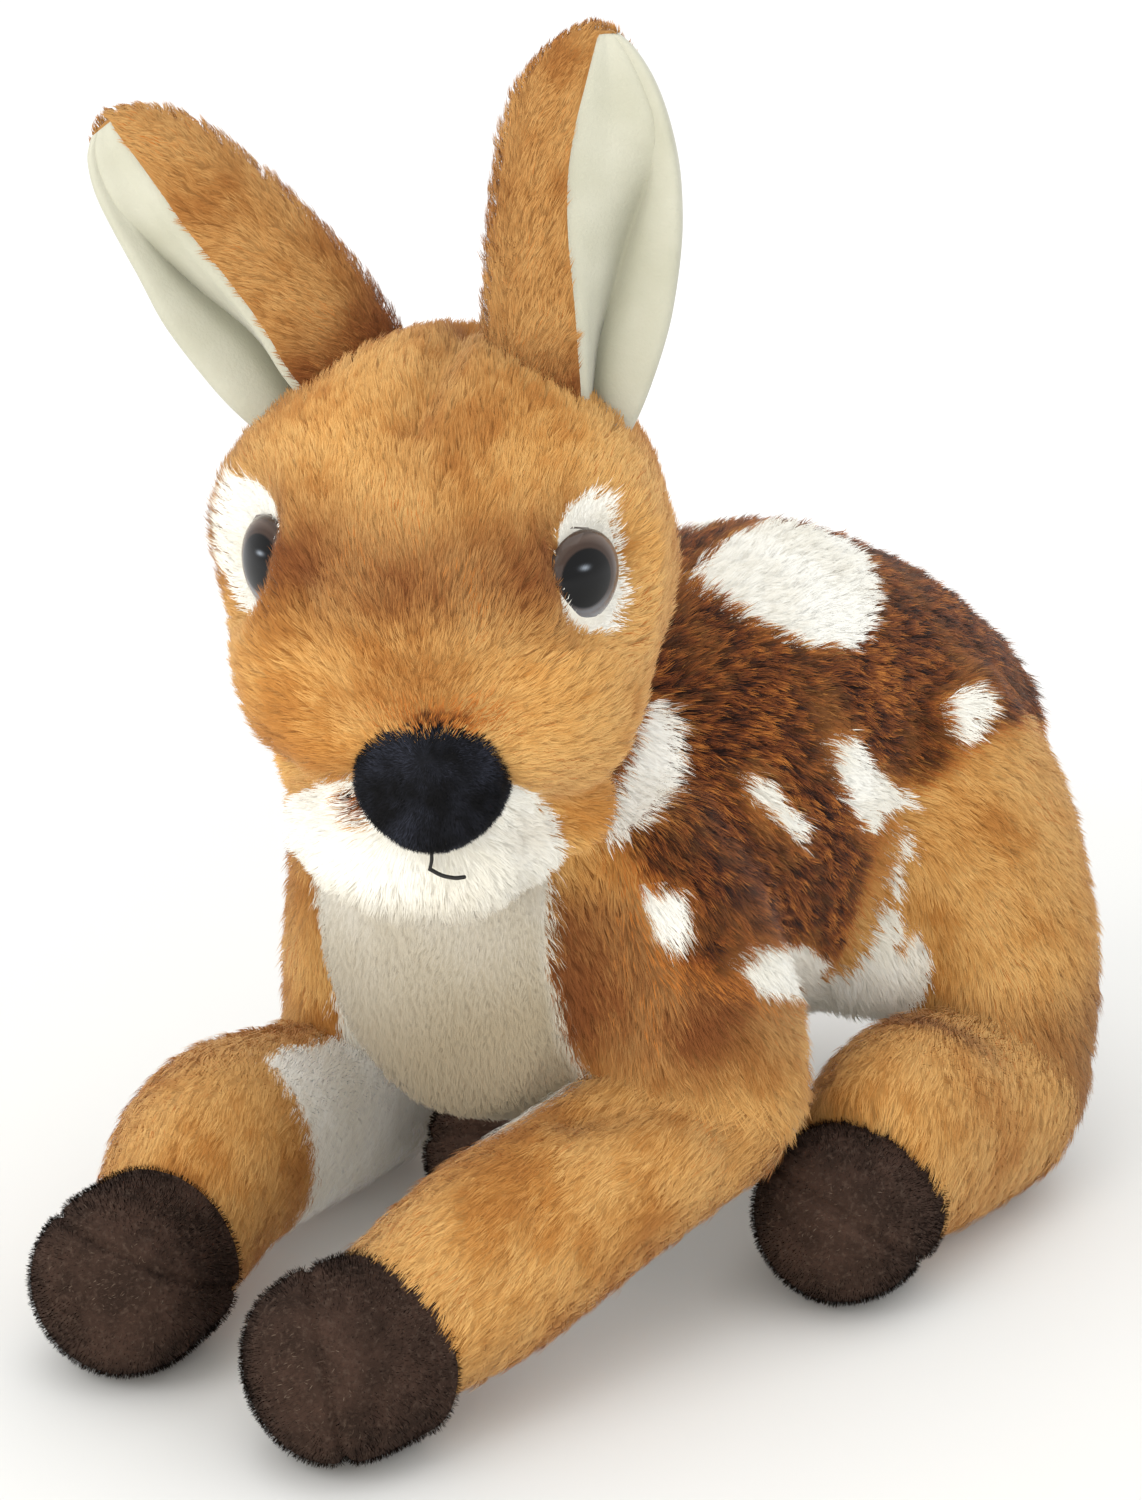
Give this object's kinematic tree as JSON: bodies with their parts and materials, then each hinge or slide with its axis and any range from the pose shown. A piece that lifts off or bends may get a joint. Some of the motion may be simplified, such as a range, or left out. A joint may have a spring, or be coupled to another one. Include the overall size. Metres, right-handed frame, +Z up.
{
  "type": "plush fawn",
  "caption": "Stuffed plush fawn lying down with its head turned to one side, upright ears, long fur with white spots, felt hooves, glossy eyes and a velour nose.",
  "frame": {"origin": "middle of the fawn's box, on the floor it lies on", "axes": "+Z up, -Y the way the body faces, +X the fawn's own left"},
  "size_m": [0.1514, 0.2696, 0.257],
  "materials": {
    "fur_tan": "long woven pile, combed, tan",
    "fur_saddle": "long woven pile, dark brown with white spots",
    "fur_white": "long woven pile, cream white",
    "fleece": "short knitted fleece, off white",
    "felt": "mottled dark felt",
    "velour": "short velour, near black",
    "thread": "twisted thread, near black",
    "eye_clear": "clear polished dome over a printed disc",
    "eye_print": "printed disc and ribbed stem",
    "eye_washer": "pressed washer, inside the head"
  },
  "bodies": {
    "torso": {"body": "fur_saddle", "bib": "fur_white", "shoulder_left": "fur_tan", "shoulder_right": "fur_tan", "thigh_left": "fur_tan", "thigh_right": "fur_tan"},
    "head": {"head": "fur_tan", "muzzle": "fur_white", "nose": "velour", "mouth_stitch_upright": "thread", "mouth_stitch_bar": "thread", "eye_left_dome": "eye_clear", "eye_left_back": "eye_print", "eye_left_washer": "eye_washer", "eye_right_dome": "eye_clear", "eye_right_back": "eye_print", "eye_right_washer": "eye_washer"},
    "tail": {"tail": "fur_tan"},
    "ear_left": {"ear_left_shell": "fur_tan", "ear_left_lining": "fleece"},
    "foreleg_left": {"foreleg_left": "fur_tan", "foreleg_left_hoof_a": "felt", "foreleg_left_hoof_b": "felt"},
    "shank_left": {"shank_left": "fur_tan", "shank_left_hoof_a": "felt", "shank_left_hoof_b": "felt"},
    "ear_right": {"ear_right_shell": "fur_tan", "ear_right_lining": "fleece"},
    "foreleg_right": {"foreleg_right": "fur_tan", "foreleg_right_hoof_a": "felt", "foreleg_right_hoof_b": "felt"},
    "shank_right": {"shank_right": "fur_tan", "shank_right_hoof_a": "felt", "shank_right_hoof_b": "felt"}
  },
  "joints": [
    {"name": "head_turn", "type": "hinge", "parent": "torso", "child": "head", "pos_m": [0.00027, -0.05299, 0.112], "axis": [0, 0, 1], "range_deg": [-20, 20], "stiffness_Nm_per_rad": 0.3},
    {"name": "tail_lift", "type": "hinge", "parent": "torso", "child": "tail", "pos_m": [0.00027, 0.10901, 0.088], "axis": [1, 0, 0], "range_deg": [0, 40], "stiffness_Nm_per_rad": 0.03},
    {"name": "ear_left_fold", "type": "hinge", "parent": "head", "child": "ear_left", "pos_m": [0.02321, -0.05513, 0.18995], "axis": [-0.09, 0.9945, -0.0534], "range_deg": [-10, 20], "stiffness_Nm_per_rad": 0.05},
    {"name": "foreleg_left_swing", "type": "hinge", "parent": "torso", "child": "foreleg_left", "pos_m": [0.03997, -0.03099, 0.0444], "axis": [0, 0, 1], "range_deg": [0, 15], "stiffness_Nm_per_rad": 0.3},
    {"name": "shank_left_swing", "type": "hinge", "parent": "torso", "child": "shank_left", "pos_m": [0.05277, 0.05151, 0.02036], "axis": [0, 0, 1], "range_deg": [0, 15], "stiffness_Nm_per_rad": 0.3},
    {"name": "ear_right_fold", "type": "hinge", "parent": "head", "child": "ear_right", "pos_m": [-0.01867, -0.07286, 0.1861], "axis": [0.8104, -0.4068, 0.4217], "range_deg": [-20, 10], "stiffness_Nm_per_rad": 0.05},
    {"name": "foreleg_right_swing", "type": "hinge", "parent": "torso", "child": "foreleg_right", "pos_m": [-0.05623, -0.01649, 0.01882], "axis": [0, 0, 1], "range_deg": [-12, 0], "stiffness_Nm_per_rad": 0.3},
    {"name": "shank_right_swing", "type": "hinge", "parent": "torso", "child": "shank_right", "pos_m": [-0.03573, 0.04701, 0.02036], "axis": [0, 0, 1], "range_deg": [0, 6], "stiffness_Nm_per_rad": 0.3}
  ]
}
